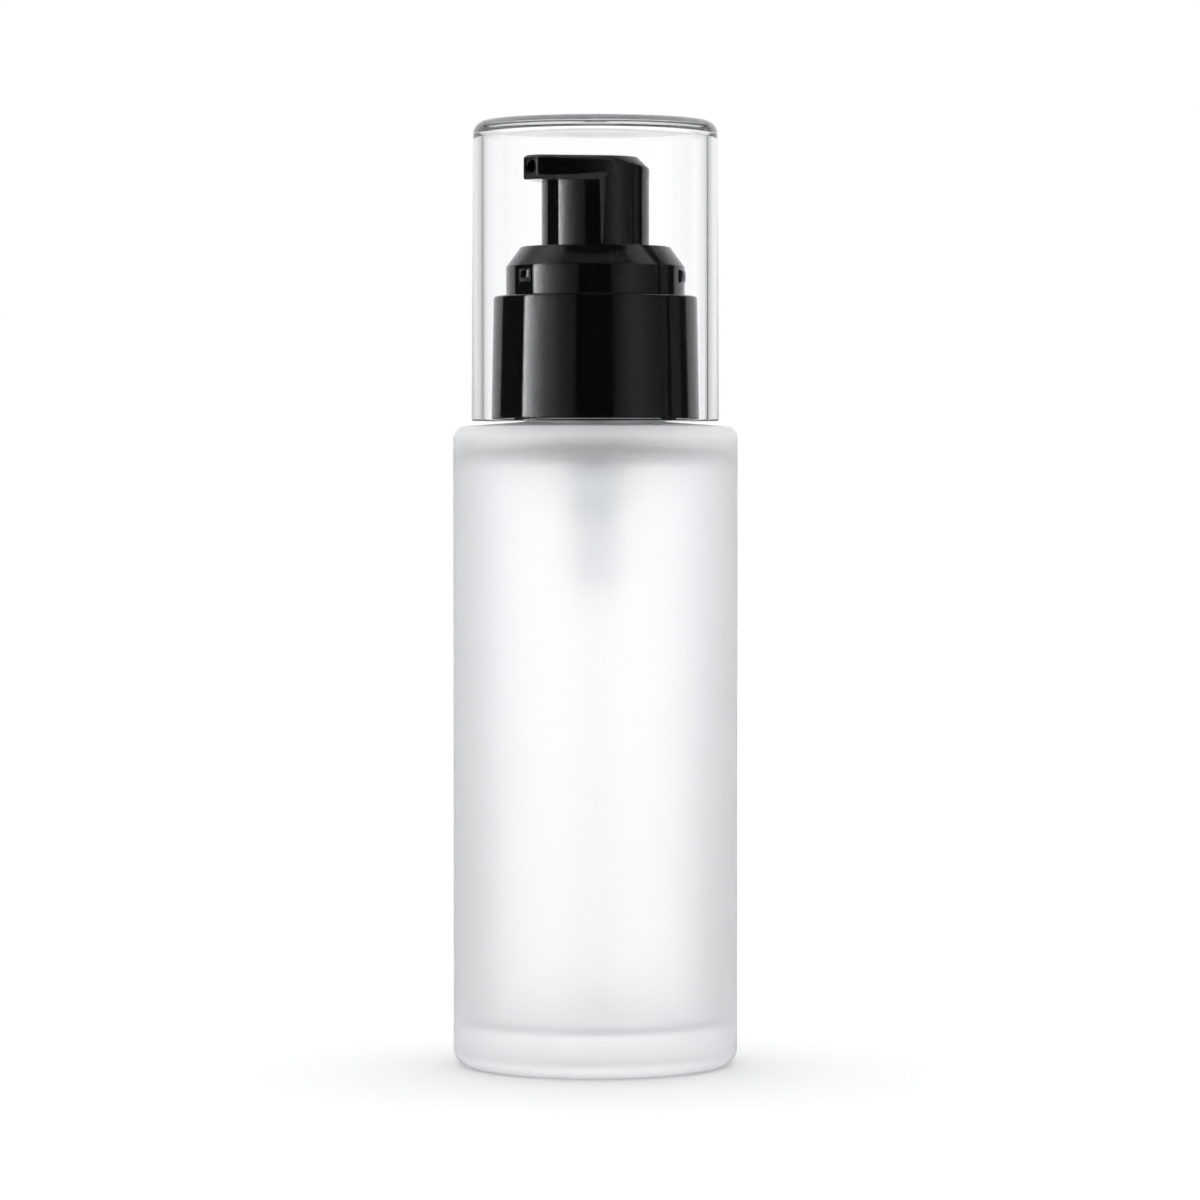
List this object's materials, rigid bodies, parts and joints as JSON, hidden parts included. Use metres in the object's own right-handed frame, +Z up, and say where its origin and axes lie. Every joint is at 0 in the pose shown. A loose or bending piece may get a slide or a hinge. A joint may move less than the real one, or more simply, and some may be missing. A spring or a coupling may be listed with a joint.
{
  "type": "serum pump bottle",
  "caption": "Frosted glass cylinder bottle with a screw-on press pump, side spout, dip tube and a clear pull-off overcap.",
  "frame": {"origin": "middle of the bottle's foot, on the axis of the bottle and pump", "axes": "+Z up along the bottle's axis; -Y the way the spout points at rest"},
  "size_m": [0.037, 0.037, 0.1227],
  "materials": {
    "frosted_glass": "acid-etched outside, smooth inside",
    "clear_plastic": "clear, polished mould",
    "black_gloss_plastic": "black, high gloss",
    "black_closure_plastic": "black, as moulded",
    "natural_plastic": "natural translucent, as moulded",
    "white_plastic": "white, as moulded",
    "gasket_foam": "fine closed-cell foam",
    "spring_steel": "bright drawn wire",
    "ball_glass": "polished"
  },
  "bodies": {
    "bottle": {"glass_bottle": "frosted_glass"},
    "pump": {"neck_gasket": "gasket_foam", "pump_housing": "natural_plastic", "stem_guide": "white_plastic", "dip_tube": "natural_plastic", "return_spring": "spring_steel", "shoulder_ring": "black_gloss_plastic"},
    "closure": {"screw_closure": "black_closure_plastic", "collar_shell": "black_gloss_plastic"},
    "plunger": {"stem": "natural_plastic", "valve_pin": "natural_plastic"},
    "piston": {"piston": "white_plastic"},
    "button": {"actuator": "black_gloss_plastic"},
    "ball": {"inlet_ball": "ball_glass"},
    "cap": {"overcap": "clear_plastic"}
  },
  "joints": [
    {"name": "pump_lift", "type": "slide", "parent": "bottle", "child": "pump", "axis": [0, 0, 1], "range_m": [0, 0.00476]},
    {"name": "closure_turn", "type": "hinge", "parent": "pump", "child": "closure", "pos_m": [0, 0, 0.0915], "axis": [0, 0, 1], "range_deg": [0, 540]},
    {"name": "actuator_press", "type": "slide", "parent": "pump", "child": "plunger", "axis": [0, 0, -1], "range_m": [0, 0.0045], "stiffness_N_per_m": 600, "springref_m": -0.003, "deforming": ["return_spring"]},
    {"name": "piston_lag", "type": "slide", "parent": "plunger", "child": "piston", "axis": [0, 0, 1], "range_m": [0, 0.0006]},
    {"name": "actuator_turn", "type": "hinge", "parent": "plunger", "child": "button", "pos_m": [0, 0, 0.1115], "axis": [0, 0, 1], "continuous": true},
    {"name": "ball_lift", "type": "slide", "parent": "pump", "child": "ball", "axis": [0, 0, 1], "range_m": [0, 0.0008]},
    {"name": "overcap_lift", "type": "slide", "parent": "closure", "child": "cap", "axis": [0, 0, 1], "range_m": [0, 0.045]}
  ],
  "couplings": [
    {"joint": "pump_lift", "follows": "closure_turn", "m_per_rad": 0.00050532},
    {"joint": "piston_lag", "follows": "actuator_press", "ratio": 0.13333}
  ]
}
